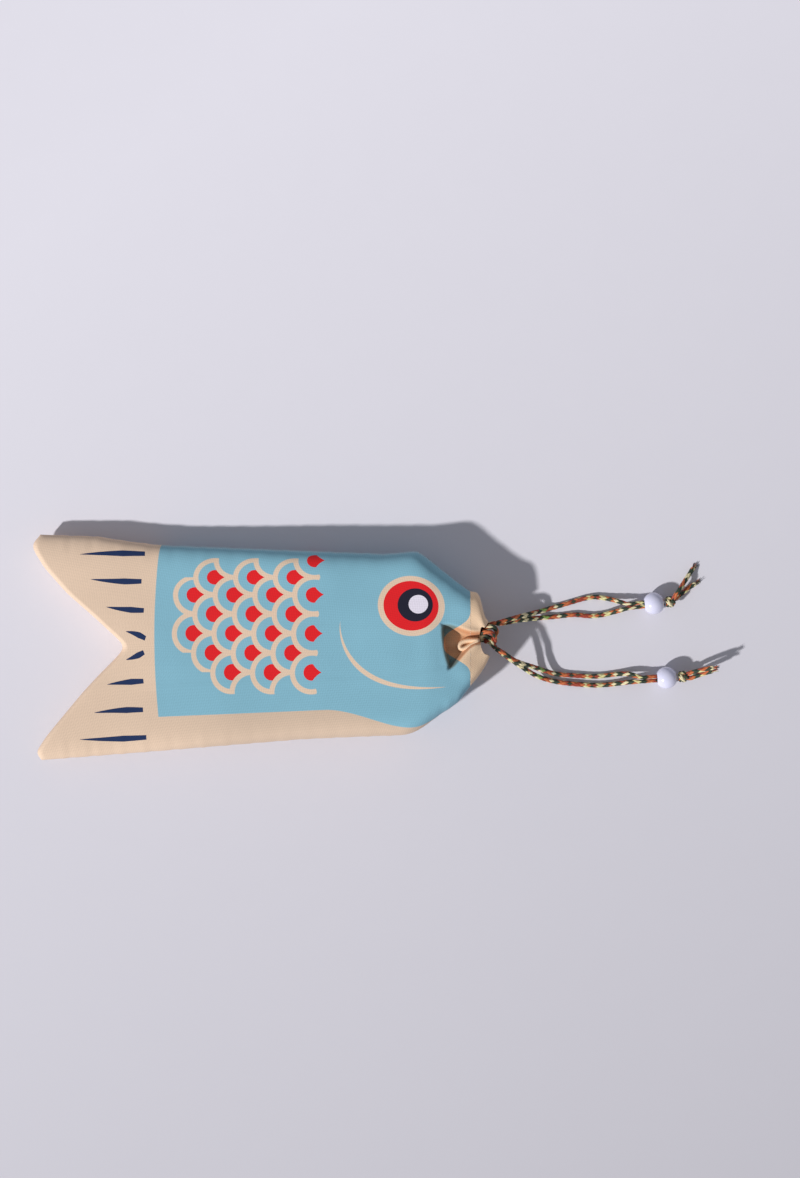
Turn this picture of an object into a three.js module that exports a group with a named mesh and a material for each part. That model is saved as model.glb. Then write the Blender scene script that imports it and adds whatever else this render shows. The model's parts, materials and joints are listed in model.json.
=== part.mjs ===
// A carp streamer made as a drawstring pouch: two cloth panels sewn round the edge, a folded casing at the
// mouth, and two doubled drawcords, each with a bead and a knot. Millimetres. +X points from the tail to the
// mouth, +Z points up from the table, and the origin is under the middle of the cloth, on the table.
import * as THREE from "three";

// Pouch outline
const BODY_LENGTH = 207.8; // tail tips to mouth edge
const TAIL_WIDTH = 102.8; // across the tail tips
const SHOULDER_WIDTH = 81.6; // across the body where the mouth starts to narrow
const BAND_WIDTH = 42.2; // across the casing's sewn line
const MOUTH_WIDTH = 19; // across the gathered mouth edge
const NOTCH_DEPTH = 41.2; // tail tips to the bottom of the tail's notch
const TIP_INSET = 3.6; // how far a tail tip's outer corner is rounded back
const TIP_SHARE = 0.9239; // place of a tail tip across the half width
const SHOULDER_TO_MOUTH = 32.4; // shoulder to mouth edge
const BAND_LENGTH = 8.8; // casing's sewn line to mouth edge
const MOUTH_SHIFT = 4.4; // how far the mouth is pulled to one side of the tail's middle

// Pouch thickness
const TAIL_SEAM_Z = 8; // height of the seam at the tail
const MOUTH_Z = 15; // height of the seam at the mouth, and of the cord exits
const TAIL_CROWN = 7; // rise of the front above the seam at the tail
const SHOULDER_CROWN = 14.5; // the same at the shoulder
const BAND_CROWN = 13; // the same at the casing's sewn line
const MOUTH_CROWN = 7.6; // the same at the mouth edge
const TAIL_ROUND = 18; // length over which the tail edge fills out
const CLOTH = 0.8; // wall of a panel
const CASING_CLOTH = 1.4; // wall of the casing, folded double
const THREAD_D = 0.5; // sewing thread
const SEAM_ALLOWANCE = 1; // inner face of the cloth's edge to the seam's thread

// Cords and beads
const CORD_D = 2.0; // braided drawcord
const BEAD_D = 10; // bead, outside
const KNOT_D = 4.6; // stopper knot
const BEAD_TRAVEL = 6; // free slide of a bead towards the mouth
const EXIT_REACH = 2.7; // mouth edge to where a cord is free to swing
const GATHER_SHIFT = 1.9; // middle of the mouth to the middle of the gather, across
const LOOP_ROOM = 1; // upper cord to the casing's inner face, beside the loop
const UPPER_SPREAD = 0.3; // how far the upper cord turns out between its loop and its exit

// Clearances
const GAP = 0.3; // between pieces that touch on the real pouch
const STRAND_GAP = 0.4; // between the two strands of one cord

// Facets
const BODY_ROWS = 18; // tail edge to shoulder
const CHAMFER_ROWS = 4; // shoulder to casing
const CASING_ROWS = 5;
const COLUMNS = 16;
const CORD_SIDES = 8;
const THREAD_SIDES = 6;
const BEAD_SIDES = 20;
const BEAD_ARC_STEPS = 10;

const TAIL_X = -BODY_LENGTH / 2;
const MOUTH_X = BODY_LENGTH / 2;
const SHOULDER_X = MOUTH_X - SHOULDER_TO_MOUTH;
const BAND_X = MOUTH_X - BAND_LENGTH;
const BAND_GAP = THREAD_D / 2 + GAP;
const EXIT_X = MOUTH_X + EXIT_REACH;
const PAIR_HALF = (CORD_D + STRAND_GAP) / 2;
const SWING_GAP = CORD_D / 2 + GAP; // between a cord's held end and its free end, so that it can swing
const GATHER_Y = MOUTH_SHIFT + GATHER_SHIFT;
const UPPER_LOOP_R = MOUTH_WIDTH / 2 - CASING_CLOTH - GATHER_SHIFT - LOOP_ROOM - CORD_D / 2;
const LOWER_LOOP_R = UPPER_LOOP_R + CORD_D + STRAND_GAP; // its ends pass outside the upper loop
const BEAD_R = BEAD_D / 2;
const BORE_R = PAIR_HALF + CORD_D / 2 + GAP;
const WIDTH_EASE = 1.35; // shape of the body's taper from tail to shoulder
const SHIFT_EASE = 2.5; // shape of the drift of the pouch's middle towards the mouth
const TAIL_SLANT = 1.5; // length along X per unit of inset, on the slanting tail edge
const BACK_FLATNESS = 1.35; // how soon the underside meets the table, in from the seam
const NOTCH_BLUNT = 0.03; // half width of the blunt notch, as a share of the half width

const { lerp, clamp, degToRad } = THREE.MathUtils;

// Value at x on a chain of straight stretches between [x, value] points.
function along(x, points) {
  for (let i = 1; i < points.length; i++) {
    const [x0, a] = points[i - 1];
    const [x1, b] = points[i];
    if (x <= x1 || i === points.length - 1) return lerp(a, b, clamp((x - x0) / (x1 - x0), 0, 1));
  }
}

// Middle of the pouch across Y: it drifts to one side towards the mouth.
function centreLine(x) {
  return MOUTH_SHIFT * clamp((x - TAIL_X) / BODY_LENGTH, 0, 1) ** SHIFT_EASE;
}

// Half width: an eased taper to the shoulder, then straight chamfers to the casing and the mouth.
function halfWidth(x) {
  if (x > SHOULDER_X) {
    const stretches = [
      [SHOULDER_X, SHOULDER_WIDTH / 2],
      [BAND_X, BAND_WIDTH / 2],
      [MOUTH_X, MOUTH_WIDTH / 2],
    ];
    return along(x, stretches);
  }
  const left = clamp((SHOULDER_X - x) / (SHOULDER_X - TAIL_X), 0, 1);
  return lerp(SHOULDER_WIDTH, TAIL_WIDTH, left ** WIDTH_EASE) / 2;
}

function seamHeight(x) {
  return lerp(TAIL_SEAM_Z, MOUTH_Z, clamp((x - TAIL_X) / BODY_LENGTH, 0, 1));
}

// Rise of the front above the seam.
function frontDepth(x) {
  const stretches = [
    [TAIL_X, TAIL_CROWN],
    [SHOULDER_X, SHOULDER_CROWN],
    [BAND_X, BAND_CROWN],
    [MOUTH_X, MOUTH_CROWN],
  ];
  return along(x, stretches);
}

// Drop of the back below the seam: down to the table along the body, and lifting off it at the mouth.
function backDepth(x) {
  const stretches = [
    [SHOULDER_X, seamHeight(SHOULDER_X) - GAP / 2],
    [BAND_X, BAND_CROWN],
    [MOUTH_X, MOUTH_CROWN],
  ];
  return x < SHOULDER_X ? seamHeight(x) - GAP / 2 : along(x, stretches);
}

// X of the swallow tail's edge at v, which is -1 and 1 at the side seams: a V with a blunt notch and round tips.
function tailEdge(v) {
  const share = Math.hypot(v, NOTCH_BLUNT);
  if (share < TIP_SHARE) return TAIL_X + NOTCH_DEPTH * (1 - share / TIP_SHARE);
  return TAIL_X + TIP_INSET * clamp((share - TIP_SHARE) / (1 - TIP_SHARE), 0, 1);
}

// Columns crowd towards the side seams, where the cloth turns most.
const columnPlace = (j) => Math.sin(Math.PI * (j / COLUMNS - 0.5));

const frontCrown = (v) => Math.sqrt(Math.max(0, 1 - v * v));
const backCrown = (v) => Math.min(1, BACK_FLATNESS * frontCrown(v));

// How far the tail has filled out at a distance from its edge: a quarter ellipse.
function tailFill(distance) {
  const left = 1 - clamp(distance / TAIL_ROUND, 0, 1);
  return Math.sqrt(1 - left * left);
}

// Rows of a panel as places from 0 to 2: 0 is the tail edge, 1 the shoulder and 2 the casing. They crowd
// towards the tail edge, where the cloth turns most.
const panelRows = [];
for (let i = 0; i < BODY_ROWS; i++) panelRows.push(1 - Math.cos((Math.PI / 2) * (i / BODY_ROWS)));
for (let i = 0; i <= CHAMFER_ROWS; i++) panelRows.push(1 + i / CHAMFER_ROWS);
const casingRows = Array.from({ length: CASING_ROWS + 1 }, (_, i) => i / CASING_ROWS);

// Point of one half of the pouch at row place u, and at v from seam to seam.
// side is 1 for the front and -1 for the back, and inset moves the point in by a cloth's thickness.
function panelPoint(side, depth, crown) {
  return (u, v, inset) => {
    const start = tailEdge(v) + inset * TAIL_SLANT;
    const x = u < 1 ? lerp(start, SHOULDER_X, u) : lerp(SHOULDER_X, BAND_X - BAND_GAP, u - 1);
    const y = centreLine(x) + v * (halfWidth(x) - inset);
    const puff = (depth(x) - inset) * crown(v) * tailFill(x - start);
    return new THREE.Vector3(x, y, seamHeight(x) + side * (GAP / 2 + puff));
  };
}

function casingPoint(side, depth, crown) {
  return (u, v, inset) => {
    const x = lerp(BAND_X + BAND_GAP, MOUTH_X, u);
    const y = centreLine(x) + v * (halfWidth(x) - inset);
    return new THREE.Vector3(x, y, seamHeight(x) + side * (GAP / 2 + (depth(x) - inset) * crown(v)));
  };
}

// Closed shell between an outer and an inner copy of one surface, joined round their edges.
function shell(point, wall, rowPlaces, side) {
  const positions = [];
  const rows = rowPlaces.length - 1;
  const rowLength = COLUMNS + 1;
  const layer = (rows + 1) * rowLength;
  for (const inset of [0, wall]) {
    for (const u of rowPlaces) {
      for (let j = 0; j <= COLUMNS; j++) positions.push(...point(u, columnPlace(j), inset).toArray());
    }
  }
  const index = [];
  const quad = (a, b, c, d) => index.push(...(side > 0 ? [a, b, c, a, c, d] : [a, c, b, a, d, c]));
  for (let i = 0; i < rows; i++) {
    for (let j = 0; j < COLUMNS; j++) {
      const a = i * rowLength + j;
      const b = a + rowLength;
      quad(a, b, b + 1, a + 1);
      quad(layer + a, layer + a + 1, layer + b + 1, layer + b);
    }
  }
  const wallBetween = (a, b) => quad(a, b, layer + b, layer + a);
  for (let i = 0; i < rows; i++) {
    const low = i * rowLength;
    wallBetween(low + rowLength, low);
    wallBetween(low + COLUMNS, low + rowLength + COLUMNS);
  }
  for (let j = 0; j < COLUMNS; j++) {
    const last = rows * rowLength + j;
    wallBetween(j, j + 1);
    wallBetween(last + 1, last);
  }
  const geometry = new THREE.BufferGeometry();
  geometry.setAttribute("position", new THREE.Float32BufferAttribute(positions, 3));
  geometry.setIndex(index);
  geometry.computeVertexNormals();
  return geometry;
}

// Round tube along a smooth curve through the points.
function tube(points, diameter, sides, steps) {
  const section = new THREE.Shape();
  for (let i = 0; i < sides; i++) {
    const angle = (2 * Math.PI * i) / sides;
    const corner = [(diameter / 2) * Math.cos(angle), (diameter / 2) * Math.sin(angle)];
    if (i === 0) section.moveTo(...corner);
    else section.lineTo(...corner);
  }
  const extrudePath = new THREE.CatmullRomCurve3(points, false, "centripetal");
  return new THREE.ExtrudeGeometry(section, { steps, extrudePath, bevelEnabled: false });
}

// Bead turned about its bore: a sphere's arc closed by the straight wall of the bore.
function beadGeometry() {
  const mouthAngle = Math.asin(BORE_R / BEAD_R);
  const profile = [];
  for (let i = 0; i <= BEAD_ARC_STEPS; i++) {
    const angle = lerp(Math.PI - mouthAngle, mouthAngle, i / BEAD_ARC_STEPS);
    profile.push(new THREE.Vector2(BEAD_R * Math.sin(angle), BEAD_R * Math.cos(angle)));
  }
  profile.push(profile[0].clone());
  return new THREE.LatheGeometry(profile, BEAD_SIDES);
}

const clothMaterial = new THREE.MeshStandardMaterial({ color: 0x8ab4c4, roughness: 0.9 });
const creamMaterial = new THREE.MeshStandardMaterial({ color: 0xdcc0a6, roughness: 0.9 });
const threadMaterial = new THREE.MeshStandardMaterial({ color: 0xe8d8c4, roughness: 0.8 });
const cordMaterial = new THREE.MeshStandardMaterial({ color: 0x8c6a3a, roughness: 0.85 });
const beadMaterial = new THREE.MeshStandardMaterial({ color: 0xe8e8f6, roughness: 0.25 });

const streamer = new THREE.Group();

function add(name, geometry, material, parent = streamer) {
  const mesh = new THREE.Mesh(geometry, material);
  mesh.name = name;
  parent.add(mesh);
  return mesh;
}

// Cloth
const HALVES = [
  { name: "front", side: 1, depth: frontDepth, crown: frontCrown },
  { name: "back", side: -1, depth: backDepth, crown: backCrown },
];
for (const { name, side, depth, crown } of HALVES) {
  add(`${name}_panel`, shell(panelPoint(side, depth, crown), CLOTH, panelRows, side), clothMaterial);
  const casing = shell(casingPoint(side, depth, crown), CASING_CLOTH, casingRows, side);
  add(`${name}_casing`, casing, creamMaterial);

  // Thread of the casing's sewn line, in the gap between panel and casing
  const sewn = [];
  for (let j = 1; j < COLUMNS; j++) {
    const v = columnPlace(j);
    const across = centreLine(BAND_X) + v * (halfWidth(BAND_X) - CLOTH / 2);
    const up = seamHeight(BAND_X) + side * (GAP / 2 + (depth(BAND_X) - CLOTH / 2) * crown(v));
    sewn.push(new THREE.Vector3(BAND_X, across, up));
  }
  add(`${name}_casing_stitches`, tube(sewn, THREAD_D, THREAD_SIDES, 3 * COLUMNS), threadMaterial);
}

// Seam threads, just inside the cloth where front and back meet
const SEAM_INSET = CLOTH + SEAM_ALLOWANCE;
for (const [name, side] of [["upper", 1], ["lower", -1]]) {
  const seamStart = tailEdge(1) + 2 * TIP_INSET;
  const points = panelRows.filter((u) => u > 0.5 || u === 0).map((u) => {
    const x = u < 1 ? lerp(seamStart, SHOULDER_X, u) : lerp(SHOULDER_X, BAND_X - BAND_GAP, u - 1);
    return new THREE.Vector3(x, centreLine(x) + side * (halfWidth(x) - SEAM_INSET), seamHeight(x));
  });
  add(`${name}_side_stitches`, tube(points, THREAD_D, THREAD_SIDES, 3 * COLUMNS), threadMaterial);
}
const tailSeam = [];
for (let j = 2; j <= COLUMNS - 2; j++) {
  const v = columnPlace(j);
  const x = tailEdge(v) + SEAM_INSET * TAIL_SLANT;
  tailSeam.push(new THREE.Vector3(x, centreLine(x) + v * (halfWidth(x) - SEAM_INSET), seamHeight(x)));
}
add("tail_stitches", tube(tailSeam, THREAD_D, THREAD_SIDES, 3 * COLUMNS), threadMaterial);

// Cords. A route's points are [along, across, height]: along and across from the cord's exit, height from the
// table. Strand a leaves above strand b. A tail's points are measured from the middle of the knot.
const CORDS = {
  upper: {
    loopR: UPPER_LOOP_R,
    loopX: MOUTH_X - CASING_CLOTH - CORD_D / 2,
    outward: 1,
    exitY: GATHER_Y + UPPER_LOOP_R + UPPER_SPREAD,
    beadAt: [72.9, 9.1],
    beadTurn: 6,
    strands: {
      a: [[3.4, 1.1, 15.9], [11.3, 3.2, 11.7], [21.4, 5.6, 3.8], [27.2, 7.2, 1.5], [34, 9.2, 1.2], [41.3, 11.3, 1.2],
        [45.8, 12, 1.2], [52.5, 11.2, 1.8]],
      b: [[3.4, 0.2, 13.2], [11.3, 1.5, 9.4], [20.4, 2.4, 2.8], [27.2, 2.9, 1.2], [36.8, 3.9, 1.2], [44, 3.3, 1.2],
        [50, 3.9, 1.7], [55, 5.2, 3]],
    },
    tails: {
      a: [[1.59, 1.95, 1.65], [3.54, 4.9, 2.2], [7.5, 10.5, -1.2], [11.2, 15.8, -3.6]],
      b: [[2.34, 1.38, -1.26], [5.5, 3.6, -2.6], [9, 6.4, -3.6], [12.4, 8.5, -3.8]],
    },
  },
  lower: {
    loopR: LOWER_LOOP_R,
    loopX: MOUTH_X - CASING_CLOTH - 1.5 * CORD_D - STRAND_GAP,
    outward: -1,
    exitY: GATHER_Y - LOWER_LOOP_R,
    beadAt: [78.7, -13.8],
    beadTurn: 4,
    strands: {
      a: [[4, -2.4, 15.9], [7.8, -5.1, 14], [11.9, -6.9, 11.6], [17.7, -8.8, 7.2], [27.9, -12, 1.9], [38.1, -13, 1.2],
        [47, -13.3, 1.2], [55.9, -12.3, 1.5], [61.5, -12.1, 3]],
      b: [[3.6, -2.6, 13.2], [7.4, -5.4, 11.1], [11.3, -8, 8.6], [19.5, -13, 3.2], [27.2, -15.5, 1.2],
        [36.8, -16.8, 1.2], [47, -17.4, 1.2], [55, -16.8, 1.6], [61.5, -15.9, 3.2]],
    },
    tails: {
      a: [[2.34, 1.38, 1.28], [6.1, 2.67, 3.2], [10.1, 3.67, 4.8], [13.6, 4.37, 6]],
      b: [[2.9, -0.73, 0.24], [7.1, 0.17, 1.6], [10.6, 0.97, 3.2], [13.3, 1.67, 4.6]],
    },
  },
};

const STRAND_SIDES = { a: 1, b: -1 };
const RING_START = 40; // degrees round a loop from its held ends to its first point
const RING_POINTS = 11;
const LEAD_BEND = 0.8; // diameters from a loop's plane to where its ends run straight

const onTable = (z) => Math.max(CORD_D / 2, z);

for (const [name, cord] of Object.entries(CORDS)) {
  // Loop inside the casing, from one held end round the gather to the other
  const { loopR, loopX, outward, exitY } = cord;
  const leadY = GATHER_Y + outward * loopR;
  const lead = (side) => [
    new THREE.Vector3(EXIT_X - SWING_GAP, exitY, MOUTH_Z + side * PAIR_HALF),
    new THREE.Vector3(MOUTH_X, exitY, MOUTH_Z + side * PAIR_HALF),
    new THREE.Vector3(loopX + CORD_D * LEAD_BEND, leadY, MOUTH_Z + side * PAIR_HALF),
  ];
  const ring = [];
  for (let i = 0; i <= RING_POINTS; i++) {
    const angle = degToRad(lerp(RING_START, 360 - RING_START, i / RING_POINTS));
    const across = GATHER_Y + outward * loopR * Math.cos(angle);
    ring.push(new THREE.Vector3(loopX, across, MOUTH_Z + loopR * Math.sin(angle)));
  }
  const loopPoints = [...lead(1), ...ring, ...lead(-1).reverse()];
  add(`${name}_cord_loop`, tube(loopPoints, CORD_D, CORD_SIDES, 48), cordMaterial);

  // Bead, and the straight stretch of both strands through it
  const turn = degToRad(cord.beadTurn);
  const bead = new THREE.Vector3(EXIT_X + cord.beadAt[0], exitY + cord.beadAt[1], BEAD_R);
  const forward = new THREE.Vector3(Math.cos(turn), Math.sin(turn), 0);
  const sideways = new THREE.Vector3(-Math.sin(turn), Math.cos(turn), 0);
  const beadMesh = add(`${name}_bead`, beadGeometry(), beadMaterial);
  beadMesh.position.copy(bead);
  beadMesh.rotation.z = turn - Math.PI / 2;

  for (const [letter, route] of Object.entries(cord.strands)) {
    const side = STRAND_SIDES[letter];
    const held = (distance) =>
      bead.clone().addScaledVector(forward, distance).addScaledVector(sideways, side * PAIR_HALF);
    const points = [
      new THREE.Vector3(EXIT_X, exitY, MOUTH_Z + side * PAIR_HALF),
      ...route.map(([x, y, z]) => new THREE.Vector3(EXIT_X + x, exitY + y, onTable(z))),
      held(-BEAD_R - BEAD_TRAVEL - GAP),
      held(-BEAD_R - BEAD_TRAVEL / 2),
      held(0),
      held(BEAD_R),
    ];
    add(`${name}_strand_${letter}`, tube(points, CORD_D, CORD_SIDES, 30), cordMaterial);
  }

  // Knot behind the bead, and the two cut tails
  const knot = bead.clone().addScaledVector(forward, BEAD_R + GAP + KNOT_D / 2);
  add(`${name}_knot`, new THREE.SphereGeometry(KNOT_D / 2, 12, 8), cordMaterial).position.copy(knot);
  for (const [letter, route] of Object.entries(cord.tails)) {
    const points = route.map(([x, y, z]) => new THREE.Vector3(knot.x + x, knot.y + y, onTable(knot.z + z)));
    add(`${name}_tail_${letter}`, tube(points, CORD_D, CORD_SIDES, 8), cordMaterial);
  }
}

export default streamer;
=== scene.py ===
"""Drawstring pouch in the shape of a carp streamer: printed cloth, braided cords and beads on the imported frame."""

import functools
import json
import math

import bpy
import numpy as np
from bpy.props import FloatProperty, FloatVectorProperty, IntProperty, PointerProperty
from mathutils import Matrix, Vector

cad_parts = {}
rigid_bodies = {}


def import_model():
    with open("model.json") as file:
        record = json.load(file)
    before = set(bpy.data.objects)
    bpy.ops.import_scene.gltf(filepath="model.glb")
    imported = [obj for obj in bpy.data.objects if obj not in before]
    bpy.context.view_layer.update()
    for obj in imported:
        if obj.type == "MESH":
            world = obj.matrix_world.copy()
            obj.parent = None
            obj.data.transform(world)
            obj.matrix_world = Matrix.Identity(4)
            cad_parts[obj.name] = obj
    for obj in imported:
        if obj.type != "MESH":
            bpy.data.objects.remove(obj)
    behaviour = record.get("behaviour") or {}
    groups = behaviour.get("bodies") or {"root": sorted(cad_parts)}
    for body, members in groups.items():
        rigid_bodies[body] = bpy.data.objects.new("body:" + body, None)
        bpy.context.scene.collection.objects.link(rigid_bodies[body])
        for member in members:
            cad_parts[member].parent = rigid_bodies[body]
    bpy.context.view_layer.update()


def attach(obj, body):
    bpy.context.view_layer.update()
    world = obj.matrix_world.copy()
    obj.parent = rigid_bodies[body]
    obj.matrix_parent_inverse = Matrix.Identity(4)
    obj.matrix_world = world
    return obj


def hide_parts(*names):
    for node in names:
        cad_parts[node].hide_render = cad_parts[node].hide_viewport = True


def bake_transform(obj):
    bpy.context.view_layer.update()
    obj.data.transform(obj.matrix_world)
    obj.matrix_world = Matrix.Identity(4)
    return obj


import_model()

bl_info = {
    "name": "Carp Streamer Pouch",
    "version": (1, 0, 0),
    "blender": (4, 5, 0),
    "location": "View3D > Sidebar > Streamer",
    "description": "Builds the printed cloth, braided cords, beads and stage of a carp streamer pouch",
    "category": "Object",
}

MM = 0.001

# Places in the frame, in millimetres: x runs from the tail to the mouth, z up from the table
TAIL_X, BAND_X, MOUTH_X = -103.9, 95.1, 103.9
TAIL_SEAM_Z, MOUTH_Z = 8.0, 15.0
TAIL_HALF = 51.3
# Half the gap between the cloths at their seams, and the least height of the back cloth and of a cord's end
SEAM_GAP, CLOTH_LOW, CORD_LOW = 0.12, 0.12, 0.15
EXIT_X = 106.6
EXIT_Y = {"upper": 10.8, "lower": -0.3}
# Half the height between a pair of strands at their exit
PAIR_HALF = 1.2
BEAD_TRAVEL = 6.0
GAP = 0.3
KNOT_D = 4.6
# Half the spacing of the two strands where the bead runs on them
BORE_HALF = 0.93
STRAND_SIDE = {"a": 1, "b": -1}
BEAD_AT = {"upper": (72.9, 9.1), "lower": (78.7, -13.8)}
BEAD_TURN = {"upper": 6.0, "lower": 4.0}
# Drawn cords: step along a line, sides of a tube, depth of the braid and length of its repeat
LINE_STEP, CORD_SIDES, BRAID_RELIEF, BRAID_PITCH = 0.26, 20, 0.12, 2.9
HALVES = (("front", 1), ("back", -1))
FLOOR_HALF = 30000
UP = np.array([0.0, 0.0, 1.0])

# Each strand's points from its exit: along, across, and height above the table
ROUTES = {
    "upper_a": [(3.4, 1.1, 15.9), (11.3, 3.2, 11.7), (21.4, 5.6, 3.8), (27.2, 7.2, 1.5), (34, 9.2, 1.2),
                (41.3, 11.3, 1.2), (45.8, 12, 1.2), (52.5, 11.2, 1.8)],
    "upper_b": [(3.4, 0.2, 13.2), (11.3, 1.5, 9.4), (20.4, 2.4, 2.8), (27.2, 2.9, 1.2), (36.8, 3.9, 1.2),
                (44, 3.3, 1.2), (50, 3.9, 1.7), (55, 5.2, 3)],
    "lower_a": [(4, -2.4, 15.9), (7.8, -5.1, 14), (11.9, -6.9, 11.6), (17.7, -8.8, 7.2), (27.9, -12, 1.9),
                (38.1, -13, 1.2), (47, -13.3, 1.2), (55.9, -12.3, 1.5), (61.5, -12.1, 3)],
    "lower_b": [(3.6, -2.6, 13.2), (7.4, -5.4, 11.1), (11.3, -8, 8.6), (19.5, -13, 3.2), (27.2, -15.5, 1.2),
                (36.8, -16.8, 1.2), (47, -17.4, 1.2), (55, -16.8, 1.6), (61.5, -15.9, 3.2)],
}
# Each tail's points from the middle of its knot
TAILS = {
    "upper_a": [(1.59, 1.95, 1.65), (3.54, 4.9, 2.2), (7.5, 10.5, -1.2), (11.2, 15.8, -3.6)],
    "upper_b": [(2.34, 1.38, -1.26), (5.5, 3.6, -2.6), (9, 6.4, -3.6), (12.4, 8.5, -3.8)],
    "lower_a": [(2.34, 1.38, 1.28), (6.1, 2.67, 3.2), (10.1, 3.67, 4.8), (13.6, 4.37, 6)],
    "lower_b": [(2.9, -0.73, 0.24), (7.1, 0.75, 1.5), (10.6, 1.95, 3.0), (13.3, 2.85, 4.3)],
}
# Turns of both cords where they come out of the gathered mouth and cross
WRAPS = {
    "upper_lead_a": [(98.6, 4.6, 15.6), (100.6, 6.9, 16.4), (102.8, 9.4, 16.9), (105.0, 10.7, 16.6),
                     (107.2, 11.0, 16.2)],
    "upper_lead_b": [(98.8, 5.2, 14.0), (101.0, 8.0, 13.9), (103.6, 10.3, 13.8), (105.4, 10.8, 13.8),
                     (107.2, 10.8, 13.8)],
    "lower_lead_a": [(99.2, 4.4, 17.2), (101.6, 5.3, 18.3), (103.9, 4.2, 18.2), (105.4, 1.6, 17.2),
                     (107.0, -0.7, 16.2)],
    "lower_lead_b": [(99.4, 3.4, 14.6), (101.8, 3.3, 14.8), (104.2, 2.3, 14.3), (105.8, 0.6, 13.9),
                     (107.0, -0.7, 13.8)],
    "outer_turn": [(100.8, 8.2, 15.4), (103.0, 9.4, 18.9), (105.8, 9.2, 18.9), (107.1, 7.2, 17.6), (105.9, 4.9, 16.2),
                   (103.6, 3.6, 15.9), (101.6, 2.2, 14.6)],
    "inner_turn": [(100.2, 6.4, 17.9), (102.2, 7.2, 20.1), (104.4, 6.9, 20.2), (106.0, 5.0, 18.9), (106.3, 2.9, 16.6),
                   (104.9, 1.4, 14.4)],
}

# Outline of the pouch in plan: across at places along, on the upper and lower sides
OUTLINE_UPPER = [(-108, 51.6), (-100.3, 51.3), (-74.6, 50.5), (-60.7, 48.3), (-45.9, 46.5), (27.0, 43.6),
                 (49.3, 42.8), (56.9, 42.4), (62.5, 43.0), (71.5, 43.7), (73.6, 42.2), (78.5, 38.4), (87.5, 31.1),
                 (95.1, 25.4), (98.3, 25.1), (99.8, 23.2), (100.7, 18.0), (101.4, 14.7), (103.5, 11.6), (106, 9.0)]
OUTLINE_LOWER = [(-108, -52.0), (-99.8, -51.5), (-48.5, -47.4), (17.9, -41.8), (31.8, -41.1), (52.7, -40.2),
                 (65.2, -39.8), (71.5, -37.8), (80.5, -31.2), (89.6, -25.0), (95.1, -17.6), (99.0, -13.0),
                 (102.5, -7.5), (104.0, -3.7), (106, -1.0)]
# Tail edge: along at places across, and the mouth edge: along at shares of the width there
TAIL_EDGE = [(-60, -96), (-51.5, -99.6), (-49.6, -101.6), (-47.1, -102.3), (-40.8, -98.0), (-20.8, -80.7),
             (-5.2, -65.9), (-1.4, -62.9), (1.2, -62.7), (3.0, -64.1), (24.8, -88.5), (36.5, -98.9), (44.4, -103.8),
             (47.4, -104.0), (51.0, -100.6), (60, -97)]
MOUTH_EDGE = [(-1.2, 104.2), (-1.0, 104.0), (-0.62, 102.9), (-0.32, 100.0), (0.0, 99.3), (0.25, 99.8),
              (0.5, 101.6), (1.0, 103.5), (1.2, 103.8)]

# Rays printed on the tail: thin end to thick end, and how far the middle bows
RAYS = [((-83.4, 42.4), (-53.2, 42.7), 0.3), ((-78.3, 31.0), (-54.7, 30.0), -0.4),
        ((-71.0, 18.3), (-53.6, 16.7), -0.3), ((-62.0, 7.1), (-52.9, 3.9), 0.5),
        ((-61.9, -5.9), (-53.6, -2.4), -0.3), ((-70.6, -17.2), (-53.8, -15.6), 0.2),
        ((-76.7, -30.2), (-54.0, -28.7), 0.4), ((-83.4, -42.4), (-52.5, -41.3), -0.3)]
RAY_HALF = 1.40
# Printed scales: radius of a disc, steps of the rows and columns, the red drop, the cream ring and the last edge
SCALE_RADIUS, COLUMN_STEP, ROW_STEP = 10.0, 18.2, 17.7
DROP_RADIUS, RING_INSIDE, SCALES_END = 3.75, 7.65, 26.4
GILL_CHORD = 56.4

CANVAS_SHINE = {"Specular_IOR_Level": 0.25, "Sheen_Weight": 0.06, "Sheen_Roughness": 0.5}


# ---------------------------------------------------------------- settings


class StreamerSizes(bpy.types.PropertyGroup):
    """Sizes of the pouch's soft parts"""

    cloth_thickness: FloatProperty(name="Cloth Thickness", description="Thickness of the printed cloth",
                                   default=0.0005, min=0.0002, max=0.0012, precision=5, unit="LENGTH")
    cord_diameter: FloatProperty(name="Cord Diameter", description="Diameter of the braided drawcord",
                                 default=0.002, min=0.001, max=0.004, precision=4, unit="LENGTH")
    bead_diameter: FloatProperty(name="Bead Diameter", description="Outside diameter of each bead",
                                 default=0.010, min=0.006, max=0.016, precision=4, unit="LENGTH")
    bead_bore: FloatProperty(name="Bead Bore", description="Diameter of the hole through each bead",
                             default=0.0042, min=0.002, max=0.008, precision=4, unit="LENGTH")
    stitch_length: FloatProperty(name="Stitch Length", description="Length of one stitch with its gap",
                                 default=0.0028, min=0.001, max=0.006, precision=4, unit="LENGTH")
    thread_diameter: FloatProperty(name="Thread Diameter", description="Diameter of the sewing thread",
                                   default=0.00034, min=0.0001, max=0.001, precision=5, unit="LENGTH")
    weave_pitch: FloatProperty(name="Weave Pitch", description="Distance between neighbouring threads of the cloth",
                               default=0.0008, min=0.0002, max=0.002, precision=5, unit="LENGTH")
    cloth_columns: IntProperty(name="Cloth Columns", description="Columns of the cloth's grid from seam to seam",
                               default=140, min=40, max=240)


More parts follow.
